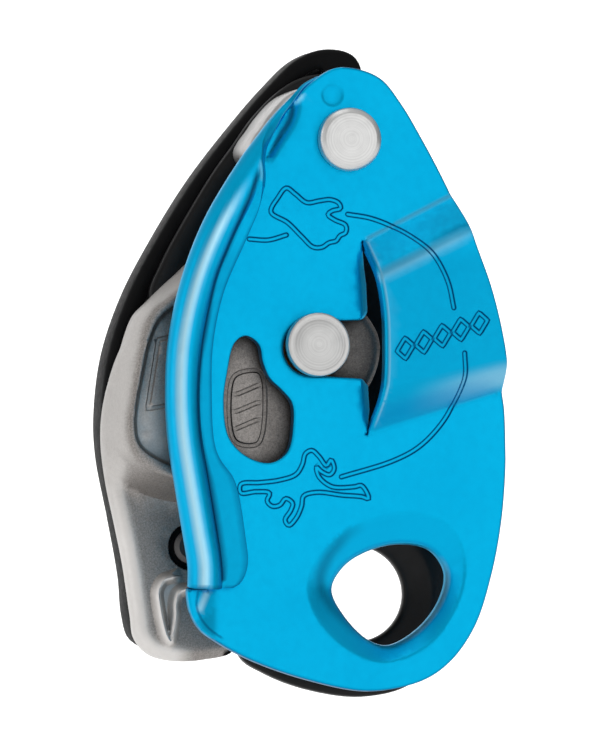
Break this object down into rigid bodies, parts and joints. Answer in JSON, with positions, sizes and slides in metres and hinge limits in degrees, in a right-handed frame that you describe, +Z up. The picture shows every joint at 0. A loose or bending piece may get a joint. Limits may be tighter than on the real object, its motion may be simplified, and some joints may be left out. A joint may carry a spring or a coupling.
{
  "type": "belay device",
  "caption": "Assisted-braking belay device: a moving side plate opens the rope channel, a cam pinches the rope and a folding handle releases it.",
  "frame": {"origin": "centre of the front face of the cam axle's head, on the axle's axis", "axes": "+Z up from the attachment eye towards the plate pivot, +Y from the moving side plate to the handle, +X to the right seen from the moving plate"},
  "size_m": [0.0596, 0.0315, 0.0991],
  "materials": {
    "anodised_blue": "satin anodised",
    "black_coated": "satin black",
    "blasted_steel": "sandblasted",
    "turned_steel": "turned, fine circular marks",
    "spring_steel": "drawn wire",
    "bronze": "sintered",
    "nylon": "fine matt grain"
  },
  "bodies": {
    "frame": {"fixed_side_plate": "black_coated", "friction_plate": "turned_steel", "friction_rivet_upper": "turned_steel", "friction_rivet_lower": "turned_steel", "plate_pivot_stud": "turned_steel", "pivot_washer": "turned_steel", "pivot_spacer": "turned_steel", "cam_axle": "turned_steel", "axle_rear_washer": "turned_steel", "cam_thrust_washer": "bronze", "cam_return_spring": "spring_steel", "spring_anchor_peg": "turned_steel"},
    "side_plate": {"moving_side_plate": "anodised_blue"},
    "cam": {"cam": "blasted_steel", "cam_bush": "bronze", "handle_pivot_pin": "turned_steel", "handle_return_spring": "spring_steel", "handle_retaining_ring": "spring_steel"},
    "handle": {"handle_grip": "nylon", "handle_core": "turned_steel", "handle_bush": "bronze", "core_rivet_upper": "turned_steel", "core_rivet_lower": "turned_steel"}
  },
  "joints": [
    {"name": "plate_swing", "type": "hinge", "parent": "frame", "child": "side_plate", "pos_m": [0.0051, 0, 0.0315], "axis": [0, 1, 0], "range_deg": [0, 105]},
    {"name": "cam_swing", "type": "hinge", "parent": "frame", "child": "cam", "pos_m": [0, 0, 0], "axis": [0, 1, 0], "range_deg": [0, 15]},
    {"name": "handle_fold", "type": "hinge", "parent": "cam", "child": "handle", "pos_m": [-0.0166, 0, -0.0304], "axis": [0, -1, 0], "range_deg": [0, 115]}
  ]
}
